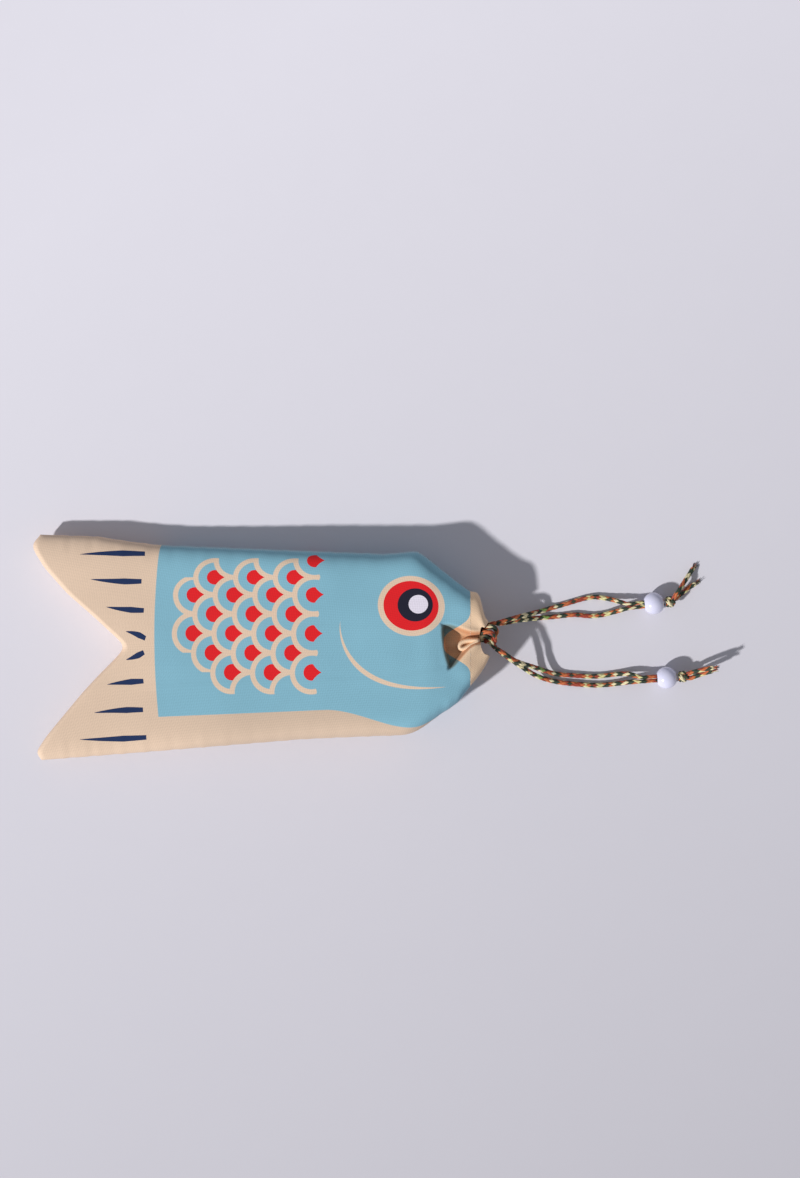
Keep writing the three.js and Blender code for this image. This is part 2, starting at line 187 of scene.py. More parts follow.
class StreamerColours(bpy.types.PropertyGroup):
    """Colours of the print, cords and stage"""

    water_blue: FloatVectorProperty(name="Water Blue", description="Ground of the printed body", subtype="COLOR",
                                    size=3, min=0, max=1, default=(0.232, 0.472, 0.585))
    canvas_cream: FloatVectorProperty(name="Canvas Cream", description="Unprinted cloth and scale outlines",
                                      subtype="COLOR", size=3, min=0, max=1, default=(0.760, 0.575, 0.430))
    # The hem colour is the cream cloth made paler and warmer as painted light on the gathered mouth
    hem_cream_with_painted_light: FloatVectorProperty(name="Hem Cream With Painted Light", description="Doubled cloth about the gathered mouth",
                                   subtype="COLOR", size=3, min=0, max=1, default=(0.890, 0.645, 0.435))
    scale_red: FloatVectorProperty(name="Scale Red", description="Drops in the scales and ring of the eye",
                                   subtype="COLOR", size=3, min=0, max=1, default=(0.760, 0.013, 0.018))
    ray_navy: FloatVectorProperty(name="Ray Navy", description="Rays of the tail", subtype="COLOR", size=3, min=0,
                                  max=1, default=(0.012, 0.030, 0.100))
    pupil_black: FloatVectorProperty(name="Pupil Black", description="Pupil of the eye", subtype="COLOR", size=3,
                                     min=0, max=1, default=(0.012, 0.012, 0.028))
    eye_white: FloatVectorProperty(name="Eye White", description="Spot in the eye", subtype="COLOR", size=3, min=0,
                                   max=1, default=(0.780, 0.730, 0.840))
    thread_cream: FloatVectorProperty(name="Thread Cream", description="Sewing thread", subtype="COLOR", size=3,
                                      min=0, max=1, default=(0.78, 0.62, 0.48))
    bead_white: FloatVectorProperty(name="Bead White", description="Beads", subtype="COLOR", size=3, min=0, max=1,
                                    default=(0.71, 0.71, 0.88))
    floor_pale: FloatVectorProperty(name="Floor", description="Plain floor under the pouch", subtype="COLOR", size=3,
                                    min=0, max=1, default=(0.835, 0.82, 0.895))


def sizes():
    return bpy.context.scene.streamer_sizes


def colours():
    return bpy.context.scene.streamer_colours


# ---------------------------------------------------------------- meshes


def make_piece(name, verts, faces, corner_uv=None, point_uv=None, attributes=None, materials=(), face_material=None):
    """Mesh object from points in millimetres and faces, with a UV for each corner or each point."""
    mesh = bpy.data.meshes.new(name)
    mesh.from_pydata((np.asarray(verts, float) * MM).tolist(), [], [list(map(int, f)) for f in faces])
    if len(mesh.polygons) != len(faces):
        raise RuntimeError(f"{name}: faces were lost")
    if point_uv is not None or corner_uv is not None:
        layer = mesh.uv_layers.new(name="UVMap")
        if corner_uv is None:
            corner = np.empty(len(mesh.loops), int)
            mesh.loops.foreach_get("vertex_index", corner)
            corner_uv = np.asarray(point_uv)[corner]
        layer.data.foreach_set("uv", np.asarray(corner_uv, np.float32).ravel())
    for key, values in (attributes or {}).items():
        values = np.asarray(values, np.float32)
        layer = mesh.attributes.new(key, "FLOAT" if values.ndim == 1 else "FLOAT_VECTOR", "POINT")
        layer.data.foreach_set("value" if values.ndim == 1 else "vector", values.ravel())
    for material in materials:
        mesh.materials.append(material)
    if face_material is not None:
        mesh.polygons.foreach_set("material_index", np.asarray(face_material, np.int32))
    mesh.shade_smooth()
    mesh.update()
    piece = bpy.data.objects.new(name, mesh)
    bpy.context.scene.collection.objects.link(piece)
    return piece


def unit(a):
    """Vectors of length 1 along the last axis."""
    return a / np.maximum(np.linalg.norm(a, axis=-1, keepdims=True), 1e-9)


def length_along(line):
    """Distance of each point from the first, along the line."""
    return np.r_[0, np.cumsum(np.linalg.norm(np.diff(line, axis=0), axis=1))]


def grid_faces(n, m, closed_n=False, closed_m=False):
    """Four-sided faces of a grid of n by m points, and the row and column of each one's first corner."""
    i, j = np.meshgrid(np.arange(n if closed_n else n - 1), np.arange(m if closed_m else m - 1), indexing="ij")
    k, l = (i + 1) % n, (j + 1) % m
    return np.stack([i * m + j, k * m + j, k * m + l, i * m + l], axis=-1).reshape(-1, 4), i, j


def smooth_line(points, step):
    """Centripetal Catmull-Rom curve through the points, at even steps of its own length."""
    p = np.array(points, float)
    p = np.vstack([2 * p[0] - p[1], p, 2 * p[-1] - p[-2]])
    d = np.linalg.norm(np.diff(p, axis=0), axis=1) ** 0.5
    t = np.linspace(0, 1, 60, endpoint=False)[:, None]
    pieces = []
    for i in range(1, len(p) - 2):
        a, b = p[i], p[i + 1]
        out = ((a - p[i - 1]) / d[i - 1] - (b - p[i - 1]) / (d[i - 1] + d[i]) + (b - a) / d[i]) * d[i]
        into = ((b - a) / d[i] - (p[i + 2] - a) / (d[i] + d[i + 1]) + (p[i + 2] - b) / d[i + 1]) * d[i]
        pieces.append(a + out * t + (3 * (b - a) - 2 * out - into) * t**2 + (2 * (a - b) + out + into) * t**3)
    line = np.vstack(pieces + [p[-2:-1]])
    s = length_along(line)
    even = np.linspace(0, s[-1], max(4, int(round(s[-1] / step)) + 1))
    return np.stack([np.interp(even, s, line[:, k]) for k in range(3)], axis=1)


def braid_relief(around, along):
    """Height from 0 to 1 of an eight-carrier braid: four carriers wind each way, and each crosses over the others
    in turn. around is a share of the girth and along is in millimetres."""
    f, g = 4 * around + along / BRAID_PITCH, 4 * around - along / BRAID_PITCH
    over = (np.floor(f) + np.floor(g)) % 2
    return np.where(over > 0.5, np.abs(np.sin(np.pi * f)), np.abs(np.sin(np.pi * g)))


def tube(line, radius, sides, relief=0.0, reference=None, taper=None, start=0.0):
    """Tube round a line: centre + r * (cos a * side + sin a * up), where r falls to a dome at both ends and rises
    with the braid by the share relief. Gives points, faces and a UV (share of the girth, length / 10 mm)."""
    tangent = unit(np.gradient(line, axis=0))
    up = np.broadcast_to(UP, line.shape) if reference is None else reference
    side = unit(np.cross(up, tangent))
    up = np.cross(tangent, side)
    s = length_along(line)
    ends = np.minimum(np.minimum(s, s[-1] - s) / radius, 1)
    r = radius * np.sqrt(np.clip(1 - (1 - ends) ** 2, 0.02, 1))
    if taper is not None:
        r = r * taper
    share = np.arange(sides) / sides
    a = 2 * np.pi * share
    rr = r[:, None] * (1 - relief + relief * braid_relief(share[None, :], s[:, None] + start))
    spokes = np.cos(a)[None, :, None] * side[:, None] + np.sin(a)[None, :, None] * up[:, None]
    ring = line[:, None] + rr[..., None] * spokes
    n = len(line)
    verts = np.vstack([ring.reshape(-1, 3), line[:1], line[-1:]])
    quads, i, j = grid_faces(n, sides, closed_m=True)
    u0, u1 = j / sides, (j + 1) / sides
    v0, v1 = (s[i] + start) / 10, (s[i + 1] + start) / 10
    quad_uv = np.stack([u0, v0, u1, v0, u1, v1, u0, v1], axis=-1).reshape(-1, 2)
    # Fans of triangles close both ends
    m = np.arange(sides)
    first = np.stack([np.full(sides, n * sides), (m + 1) % sides, m], axis=-1)
    last = np.stack([np.full(sides, n * sides + 1), (n - 1) * sides + m, (n - 1) * sides + (m + 1) % sides], axis=-1)
    low, high = m * 0 + start / 10, m * 0 + (s[-1] + start) / 10
    u0, middle, u1 = m / sides, (m + 0.5) / sides, (m + 1) / sides
    first_uv = np.stack([middle, low, u1, low, u0, low], axis=-1).reshape(-1, 2)
    last_uv = np.stack([middle, high, u0, high, u1, high], axis=-1).reshape(-1, 2)
    faces = quads[:, [0, 3, 2, 1]].tolist() + first.tolist() + last.tolist()
    return verts, faces, np.vstack([quad_uv, first_uv, last_uv])


def join(parts):
    """Several (points, faces, uv) as one."""
    verts, faces, uv, start = [], [], [], 0
    for v, f, t in parts:
        verts.append(v)
        faces += [[start + k for k in face] for face in f]
        uv.append(t)
        start += len(v)
    return np.vstack(verts), faces, np.vstack(uv)


# ---------------------------------------------------------------- shape of the pouch


def ease(a, b, x):
    """0 up to a, 1 from b, and a smooth rise between."""
    t = np.clip((x - a) / (b - a), 0, 1)
    return t * t * (3 - 2 * t)


def rounded(points, spread, low, high):
    """Straight stretches through the points with their corners rounded over about spread."""
    x = np.linspace(low, high, 4001)
    y = np.interp(x, *np.array(points, float).T)
    reach = int(3 * spread / (x[1] - x[0]))
    kernel = np.exp(-0.5 * (np.arange(-reach, reach + 1) * (x[1] - x[0]) / spread) ** 2)
    y = np.convolve(np.pad(y, reach, mode="edge"), kernel / kernel.sum(), mode="valid")
    return lambda at: np.interp(at, x, y)


upper_outline = rounded(OUTLINE_UPPER, 0.7, -110, 108)
lower_outline = rounded(OUTLINE_LOWER, 0.8, -110, 108)
tail_edge = rounded(TAIL_EDGE, 1.2, -60, 60)
mouth_edge = rounded(MOUTH_EDGE, 0.06, -1.2, 1.2)
# Heights of the front above the seam, and of the back below it, at places along
front_rise = rounded([(-110, 4.4), (-103.9, 4.6), (-60, 6.6), (0, 9.6), (60, 11.8), (75, 12.0), (85, 11.2),
                      (95, 9.8), (99.5, 8.8), (104.2, 6.0), (108, 4.5)], 1.6, -110, 108)
back_drop = rounded([(-110, 7.6), (-103.9, 7.8), (71.5, 13.8), (80, 13.6), (95, 11.0), (99.5, 7.0),
                     (104.2, 1.4)], 2.0, -110, 108)
# Swells of the shoulders and flaps either side of the gathered middle: height, place, and spread along and across
SWELLS = ((1.0, 93, 16.5, 6, 6.5), (1.0, 93.5, -9.5, 5.5, 5.0), (0.7, 78, 1, 6, 13))


def seam_height(x):
    """Height of the side seams, which climb evenly from the tail to the mouth."""
    return TAIL_SEAM_Z + (MOUTH_Z - TAIL_SEAM_Z) * np.clip((x - TAIL_X) / (MOUTH_X - TAIL_X), 0, 1)


def rumple(x, y):
    """Slow unevenness of laid cloth: a sum of eight waves of 24 to 70 mm in fixed directions."""
    rng = np.random.default_rng(7)
    total = 0 * x
    for wave, turn, phase in zip(rng.uniform(24, 70, 8), rng.uniform(0, np.pi, 8), rng.uniform(0, 6.28, 8)):
        total = total + np.sin(2 * np.pi * (x * np.cos(turn) + y * np.sin(turn)) / wave + phase)
    return total / 8


def cloth_point(u, v, side):
    """Point of the pouch's outer face. u is 0 at the tail edge, 1 at the casing's sewn line and 2 at the mouth edge,
    v is -1 and 1 at the side seams, and side is 1 for the front and -1 for the back. Height is the seam's height plus
    or minus a rise that fills out over a quarter ellipse from the tail edge and stays flat across the middle."""
    start = tail_edge(TAIL_HALF * v)
    panel = start + (BAND_X - start) * np.minimum(u, 1)
    x = np.where(u < 1, panel, BAND_X + (mouth_edge(v) - BAND_X) * (np.maximum(u, 1) - 1))
    low, high = lower_outline(x), upper_outline(x)
    # Small puckers along the side seams, away from the tail and the mouth
    pucker = 0.08 * np.sin(2 * np.pi * x / 9.3) + 0.06 * np.sin(2 * np.pi * x / 5.3 + 1)
    pucker = pucker * ease(-98, -85, x) * (1 - ease(90, 97, x))
    y = 0.5 * (low + high) + v * (0.5 * (high - low) + pucker * np.abs(v) ** 6)
    # The front fills out close behind the tail edge, and the back further on
    from_tail = np.clip((x - start) / (3.2 if side > 0 else 14), 0, 1)
    fill = np.sqrt(np.clip(1 - (1 - from_tail) ** 2, 0, 1))
    edge = np.abs(v)
    if side < 0:
        crown = np.minimum(1, 1.3 * (1 - edge**2.6) ** 0.55)
        z = seam_height(x) - SEAM_GAP - back_drop(x) * crown * fill
        z = z - pucker * 0.8 * ease(0.8, 0.97, edge) * (1 - ease(0.97, 1, edge))
        z = z + ease(71, 80, x) * pleats(x, y) * 0.5 * fill * (1 - edge**4)
        return np.stack([x, y, np.maximum(z, CLOTH_LOW)], axis=-1)
    # Flat to near the seams, and softer on the upper shoulder
    crown = (1 - edge ** (13.0 - 4.5 * ease(66, 80, x) * (v > 0))) ** 0.52
    z = seam_height(x) + SEAM_GAP + front_rise(x) * crown * fill
    z = z + (0.55 * rumple(x, y) + pucker * 0.9 * ease(0.75, 0.95, edge) * (1 - ease(0.95, 1, edge))) * crown * fill
    for height, at_x, at_y, along, across in SWELLS:
        z = z + height * np.exp(-(((x - at_x) / along) ** 2) - ((y - at_y) / across) ** 2)
    z = z + pleats(x, y) * ease(84, 92, x) * (1 - edge**4)
    # The middle is drawn down into a valley behind the body's crest
    inside, crest = valley(x, y)
    floor = 19.3 + 0.5 * np.sin(0.9 * y) - 1.9 * ease(90, 100, x)
    z = z + (np.minimum(floor, z) - z) * inside
    # The crest leans over the valley
    lip = np.exp(-(((x - crest) / 1.5) ** 2)) * (1 - ease(8, 11, np.abs(y - 1.0)))
    x = x + 1.5 * lip
    return np.stack([x, y, z], axis=-1)


def valley(x, y):
    """Share by which the front is drawn down behind the body's crest, and where along the crest lies."""
    crest = 81.4 - 0.15 * (y - 2) + 0.010 * (y - 2) ** 2
    middle = 0.2 + 4.4 * ease(83, 99, x)
    half = 9.2 - 7.5 * ease(83.5, 98, x)
    return (1 - ease(half - 1.6, half + 1.9, np.abs(y - middle))) * ease(crest - 0.4, crest + 2.6, x), crest


def pleats(x, y):
    """Creases that run in to the gather: a wave of the angle about it, dying away over 20 mm."""
    dx, dy = 103.2 - x, y - 5.2
    angle = np.arctan2(dy, np.maximum(dx, 0.2))
    reach = np.hypot(dx, dy)
    return 0.55 * np.sin(7.0 * angle + 0.8 * np.sin(3 * angle + 1)) * np.exp(-((reach - 7) / 9) ** 2)


def thick_sheet(outer, thickness, side):
    """Closed shell from a grid of points: the grid, the same moved in along its normals, and a rim between. Its UV is
    the length along each row and column in metres."""
    n, m, _ = outer.shape
    normal = unit(np.cross(np.gradient(outer, axis=0), np.gradient(outer, axis=1))) * side
    inner = outer - normal * thickness
    verts = np.vstack([outer.reshape(-1, 3), inner.reshape(-1, 3)])
    top = grid_faces(n, m)[0][:, ::side]
    under = top[:, ::-1] + n * m
    loop = np.r_[np.arange(m - 1), m - 1 + m * np.arange(n - 1),
                 n * m - 1 - np.arange(m - 1), (n - 1) * m - m * np.arange(n - 1)]
    after = np.roll(loop, -1)
    rim = np.stack([loop, after, after + n * m, loop + n * m], axis=-1)[:, ::side]
    along = np.vstack([np.zeros((1, m)), np.cumsum(np.linalg.norm(np.diff(outer, axis=0), axis=2), axis=0)])
    across = np.hstack([np.zeros((n, 1)), np.cumsum(np.linalg.norm(np.diff(outer, axis=1), axis=2), axis=1)])
    across = across - across[:, m // 2 : m // 2 + 1]
    uv = np.stack([along - along[-1:], across], axis=-1).reshape(-1, 2) * MM
    kinds = np.r_[np.zeros(len(top)), np.ones(len(under)), np.zeros(len(rim))]
    return verts, np.vstack([top, under, rim]), np.vstack([uv, uv]), kinds


def panel_rows():
    """Rows of the cloth's grid: close together at the tail edge, and even and close before the gather."""
    s = np.linspace(0, 1, 116)
    return np.r_[0.905 * s**1.7, np.linspace(0.905, 1, 66)[1:]]


def flat_place(outer, v):
    """Where each point lay on the flat printed cloth, in metres: its own along and across, and past 0.86 of the
    half width also the extra length of the cloth that turns down to the seam."""
    step = np.diff(outer, axis=1)
    extra = (np.hypot(step[..., 1], step[..., 2]) - np.abs(step[..., 1])) * (np.abs(v[:, 1:]) > 0.86)
    total = np.hstack([np.zeros((len(outer), 1)), np.cumsum(extra, axis=1)])
    total = total - total[:, v.shape[1] // 2][:, None]
    return np.stack([outer[..., 0], outer[..., 1] + total, 0 * total], axis=-1) * MM


def cloth_half(name, side, rows, thickness):
    """Piece of the front or the back on the given rows, with the attributes that its print and shading read."""
    v = np.sin(np.pi / 2 * np.linspace(-1, 1, sizes().cloth_columns + 1))
    u, vv = np.meshgrid(rows, v, indexing="ij")
    outer = cloth_point(u, vv, side)
    verts, faces, uv, kinds = thick_sheet(outer, thickness, side)
    edge = np.concatenate([(1 - np.abs(vv)).ravel()] * 2)
    # Painted shade mask: the share of the drawn-in fold, which the cloth's finish darkens and warms
    deep = np.concatenate([(valley(outer[..., 0] - 0.6, outer[..., 1])[0] * (side > 0)).ravel()] * 2)
    place = np.vstack([flat_place(outer, vv).reshape(-1, 3)] * 2)
    attributes = {"seam_share": edge, "print_place": place, "painted_fold_shade": deep}
    return make_piece(name, verts, faces, point_uv=uv, attributes=attributes,
                      materials=(printed_canvas(), canvas_reverse()), face_material=kinds)


# ---------------------------------------------------------------- node helpers


class Sum:
    """A value in a node tree that can be added, multiplied and compared: each step adds one Math node."""

    def __init__(self, tree, socket):
        self.tree, self.socket = tree, socket

    def put(self, operation, *others):
        node = self.tree.nodes.new("ShaderNodeMath")
        node.operation = operation
        for slot, value in zip(node.inputs, (self, *others)):
            if isinstance(value, Sum):
                self.tree.links.new(value.socket, slot)
            else:
                slot.default_value = value
        return Sum(self.tree, node.outputs[0])

    def __add__(self, o):
        return self.put("ADD", o)

    def __sub__(self, o):
        return self.put("SUBTRACT", o)

    def __mul__(self, o):
        return self.put("MULTIPLY", o)

    def __truediv__(self, o):
        return self.put("DIVIDE", o)

    def __pow__(self, o):
        return self.put("POWER", o)

    def __lt__(self, o):
        return self.put("LESS_THAN", o)

    def __gt__(self, o):
        return self.put("GREATER_THAN", o)

    def __and__(self, o):
        return self.put("MINIMUM", o)

    def __or__(self, o):
        return self.put("MAXIMUM", o)

    def __invert__(self):
        return (self * -1.0) + 1.0

    def floor(self):
        return self.put("FLOOR")

    def rest(self):
        """What is left above the whole number."""
        return self - self.floor()

    def size(self):
        return self.put("ABSOLUTE")

    def sine(self):
        return self.put("SINE")

    def root(self):
        return self.put("SQRT")

    def share(self):
        """Held between 0 and 1."""
        return (self | 0.0) & 1.0

    def within(self, low, high):
        return (self > low) & (self < high)


def socket_of(value):
    return value.socket if isinstance(value, Sum) else value


def once(store, name):
    """Decorator: the function builds the data block of that name at the first call, and later calls find it."""

    def wrap(build):
        @functools.wraps(build)
        def find():
            return getattr(bpy.data, store).get(name) or build(name)

        return find

    return wrap


def group(name, inputs, outputs):
    """New node group with named sockets, its input node, and a function that links values to its outputs."""
    tree = bpy.data.node_groups.new(name, "ShaderNodeTree")
    for label, kind, value in inputs:
        socket = tree.interface.new_socket(label, in_out="INPUT", socket_type=kind)
        if value is not None:
            socket.default_value = value
    for label, kind in outputs:
        tree.interface.new_socket(label, in_out="OUTPUT", socket_type=kind)
    into, out = tree.nodes.new("NodeGroupInput"), tree.nodes.new("NodeGroupOutput")

    def give(**values):
        for label, value in values.items():
            tree.links.new(socket_of(value), out.inputs[label])
        return tree

    return tree, into.outputs, give


def colour_mix(tree, share, first, second, blend="MIX"):
    node = tree.nodes.new("ShaderNodeMix")
    node.data_type = "RGBA"
    node.blend_type = blend
    for slot, value in ((node.inputs[0], share), (node.inputs[6], first), (node.inputs[7], second)):
        value = socket_of(value)
        if isinstance(value, bpy.types.NodeSocket):
            tree.links.new(value, slot)
        else:
            slot.default_value = value if slot.type == "VALUE" else (*value[:3], 1.0)
    return node.outputs[2]


def grey(tree, value):
    """Colour with one value in all its channels."""
    node = tree.nodes.new("ShaderNodeCombineColor")
    for slot in node.inputs:
        tree.links.new(socket_of(value), slot)
    return node.outputs[0]


def plan_of(tree, vector):
    """The x and y of a vector socket."""
    split = tree.nodes.new("ShaderNodeSeparateXYZ")
    tree.links.new(vector, split.inputs[0])
    return Sum(tree, split.outputs[0]), Sum(tree, split.outputs[1])


def noise(tree, vector, scale, detail):
    """Noise from 0 to 1 over a vector socket."""
    node = tree.nodes.new("ShaderNodeTexNoise")
    tree.links.new(vector, node.inputs["Vector"])
    if isinstance(scale, Sum):
        tree.links.new(scale.socket, node.inputs["Scale"])
    else:
        node.inputs["Scale"].default_value = scale
    node.inputs["Detail"].default_value = detail
    return Sum(tree, node.outputs[0])


# ---------------------------------------------------------------- shared effects


@once("node_groups", "Streamer Print")
def ink_print(name):
    """Group for the printed picture, from a position in metres: ground, scales, eye, gill line and tail rays, with
    painted shade on the belly strip and painted light on the cream near the mouth.
    """
    inks = ("Ground", "Cream", "Hem", "Red", "Navy", "Pupil", "Spot")
    tree, into, give = group(
        name,
        [("Position", "NodeSocketVector", None), *((ink, "NodeSocketColor", None) for ink in inks)],
        [("Color", "NodeSocketColor")],
    )
    # The picture is printed one hundredth smaller than the lengths below, and a little off the middle
    x, y = plan_of(tree, into["Position"])
    x, y = x * 1010.0 - 0.63, y * 1010.0 - 0.27

    def ellipse(cx, cy, a, b, turn=0.0):
        """Inside an oval of half sizes a and b, turned by degrees."""
        c, s = math.cos(math.radians(turn)), math.sin(math.radians(turn))
        dx, dy = x - cx, y - cy
        p, q = (dx * c + dy * s) / a, (dy * c - dx * s) / b
        return (p * p + q * q) < 1.0

    # Ground: blue between the tail, the belly strip and the mouth
    bow = y - 5.0
    past_tail = (x - (bow * bow * 0.0014)) > -48.8
    step = ((x - 30.0) / 41.5).share()
    drop = step * step * ((step * -2.0) + 3.0)
    belly = ((x & 30.0) - 25.0) * 0.0459 - 28.6 - drop * 8.6
    above = (y - belly) > 0.0
    # The mouth's edge of the ground is a bell curve that reaches back to the valley
    reach = (y - 1.5).size() / (((y > 1.5) * 0.6) + 8.0)
    bell = ((reach**3.0) * -1.0).put("EXPONENT")
    mouth = ((bell * -12.2) + (BAND_X + 0.3) - x) > 0.0
    ground = past_tail & above & mouth

    # Scales: two lattices of overlapping discs, the disc nearer the head on top
    slant = x - (y - 6.3) * 0.03
    high = y + ((y - 24.0) | 0.0) * 0.13

    def lattice(x0, y0, end):
        """Column, row and place of the disc that a point falls in; end keeps the outer row's discs whole."""
        column = ((slant - (x0 - SCALE_RADIUS)) / COLUMN_STEP).floor()
        row = end(((high - (y0 - ROW_STEP / 2)) / ROW_STEP).floor())
        dx = slant - (column * COLUMN_STEP) - x0
        dy = high - (row * ROW_STEP) - y0
        return column, row, dx, dy, (dx * dx + dy * dy).root()

    c1, r1, dx1, dy1, d1 = lattice(-30.75, 6.3, lambda r: r | -1.0)
    c2, r2, dx2, dy2, d2 = lattice(-21.65, 15.15, lambda r: r & 1.0)
    # Row numbers: lattice 1 shows -1, 0 and 1, and 2 only cuts; lattice 2 shows -1, 0 and 1, and -2 only cuts
    here1 = (d1 < SCALE_RADIUS) & c1.within(-0.5, 3.5) & r1.within(-1.5, 2.5) & ((c1 > 0.5) | (r1 > -0.5))
    here2 = (d2 < SCALE_RADIUS) & c2.within(-0.5, 2.5) & r2.within(-2.5, 1.5)
    first = here1 & (~here2 | (dx1 < dx2))
    second = here2 & ~first

    def disc(on, dx, dy, d, shown, drop_shown):
        """Red drop and cream ring of a disc, cut by the discs beside it and by the edge of the whole patch."""
        off, past = dx - COLUMN_STEP / 2, dy.size() - ROW_STEP / 2
        clear = (off * off + past * past).root() > SCALE_RADIUS
        red = clear & ((d < DROP_RADIUS) | dx.within(1.0, 4.5)) & on & drop_shown
        stub = (past * past & 4.0) * -0.25 + SCALES_END
        ring = (d > RING_INSIDE) & on & shown & (slant < stub)
        return red, ring

    shown1, shown2 = r1 < 1.5, r2 > -1.5
    # A row that only cuts shows its ring where it lies over a shown disc
    closing = (c1 > 2.5) & (dy1 < -6.5)
    red1, ring1 = disc(first, dx1, dy1, d1, shown1 | here2 | closing, shown1 | (c1 > 2.5))
    red2, ring2 = disc(second, dx2, dy2, d2, shown2 | here1, shown2)

    # Gill line: a crescent in a frame laid along its chord
    gx, gy = x - 36.4, y - 12.0
    s = gx * 0.848 - gy * 0.529
    t = gx * -0.529 - gy * 0.848
    w = ((s / GILL_CHORD) | 0.0) ** 0.8
    arch = (w * ((w * -4.0) + 4.0)) | 0.0
    outer = arch * 15.1
    gill = s.within(0.0, GILL_CHORD) & (t < outer) & ((t - outer + (arch**0.8) * 2.2) > 0.0)

    # Rays of the tail: strokes that widen to one end, with a slight bow
    rays = None
    for (ax, ay), (bx, by), curve in RAYS:
        length = math.hypot(bx - ax, by - ay)
        ux, uy = (bx - ax) / length, (by - ay) / length
        dx, dy = x - ax, y - ay
        along = (dx * ux + dy * uy) / length
        across = dy * ux - dx * uy - (along * (~along)) * (4 * curve)
        widening = (along * 1.5).share() ** 0.75
        narrowing = ((along - 0.66) | 0.0) * -0.7 + 1.0
        stroke = along.within(0.0, 1.0) & ((across.size() - widening * narrowing * RAY_HALF) < 0.0)
        rays = stroke if rays is None else rays | stroke

    # Painted light: towards the mouth the cream turns into the paler, warmer hem colour
    near_mouth = ((x - 80.0) / 7.0).share()
    cloth = colour_mix(tree, near_mouth, into["Cream"], into["Hem"])
    # Painted shade: the unprinted belly strip is made a shade greyer than the tail
    strip = ((x + 60.0) / 50.0).share() & (y < -20.0)
    cloth = colour_mix(tree, strip, cloth, (0.84, 0.85, 0.86), "MULTIPLY")
    painted = colour_mix(tree, ground, cloth, into["Ground"])
    for mask, ink in (
        ((ring1 | ring2) & ground, "Cream"),
        ((red1 | red2) & ground, "Red"),
        (gill, "Cream"),
        (ellipse(68.5, 18.8, 15.2, 13.6, -8), "Cream"),
        (ellipse(68.4, 18.9, 12.5, 11.2, -8), "Red"),
        (ellipse(70.3, 19.3, 8.0, 7.5), "Pupil"),
        (ellipse(71.7, 19.6, 4.4, 4.2), "Spot"),
        (rays, "Navy"),
    ):
        painted = colour_mix(tree, mask, painted, into[ink])
    return give(Color=painted)


@once("node_groups", "Plain Weave")
def plain_weave(name):
    """Group for a plain weave from a UV in metres: a height that rises where warp crosses weft, and its shade."""
    tree, into, give = group(
        name,
        [("UV", "NodeSocketVector", None), ("Pitch", "NodeSocketFloat", 0.0006), ("Slub", "NodeSocketFloat", 0.35)],
        [("Height", "NodeSocketFloat"), ("Shade", "NodeSocketFloat")],
    )
    uneven = noise(tree, into["UV"], 260.0, 3.0) - 0.5
    wander = uneven * Sum(tree, into["Slub"])
    u, v = (place / Sum(tree, into["Pitch"]) + wander for place in plan_of(tree, into["UV"]))
    warp, weft = (u * math.pi).sine(), (v * math.pi).sine()
    over = ((u.floor() + v.floor()) * 0.5).rest() > 0.25
    height = over * warp.size() + (~over) * weft.size()
    return give(Height=height + uneven * 0.5, Shade=height * 0.26 + 0.83)


@once("node_groups", "Uneven Tone")
def uneven_tone(name):
    """Group for slow and fine unevenness of a colour, from a position in metres."""
    tree, into, give = group(
        name,
        [("Position", "NodeSocketVector", None), ("Scale", "NodeSocketFloat", 40.0),
         ("Amount", "NodeSocketFloat", 0.06)],
        [("Tone", "NodeSocketFloat"), ("Grain", "NodeSocketFloat")],
    )
    scale, amount = Sum(tree, into["Scale"]), Sum(tree, into["Amount"])
    slow = noise(tree, into["Position"], scale, 3.0)
    fine = noise(tree, into["Position"], scale * 22.0, 2.0)
    return give(Tone=(slow - 0.5) * amount * 2.0 + (fine - 0.5) * amount + 1.0, Grain=fine)


